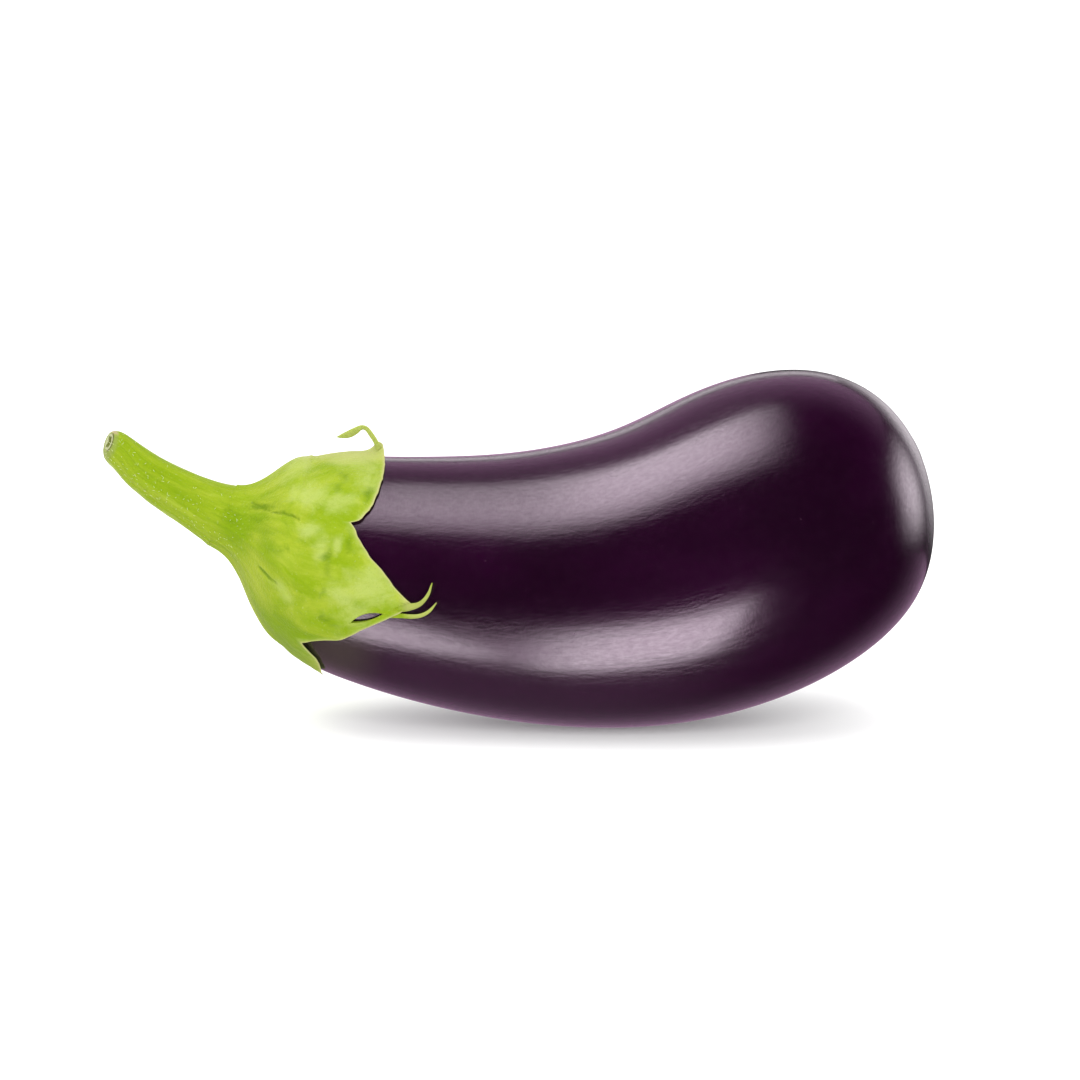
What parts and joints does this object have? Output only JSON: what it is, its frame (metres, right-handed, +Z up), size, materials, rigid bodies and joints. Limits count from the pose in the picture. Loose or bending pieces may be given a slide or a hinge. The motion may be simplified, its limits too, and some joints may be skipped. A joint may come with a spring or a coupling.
{
  "type": "eggplant",
  "caption": "Whole dark purple eggplant, bent and lying on its belly, with its green lobed calyx and cut stem.",
  "frame": {"origin": "on the small flat spot that the fruit rests on, near its middle", "axes": "+X from the stem towards the blossom end, +Z up, -Y towards the side with the forked lobe"},
  "size_m": [0.2317, 0.0882, 0.0998],
  "materials": {
    "purple_skin": "waxy, smooth, glossy skin",
    "calyx_green": "leathery green cap, finely pimpled",
    "stem_green": "fleshy green stalk with fine pale hairs"
  },
  "bodies": {
    "root": {"fruit": "purple_skin", "calyx": "calyx_green", "stem": "stem_green"}
  },
  "joints": []
}
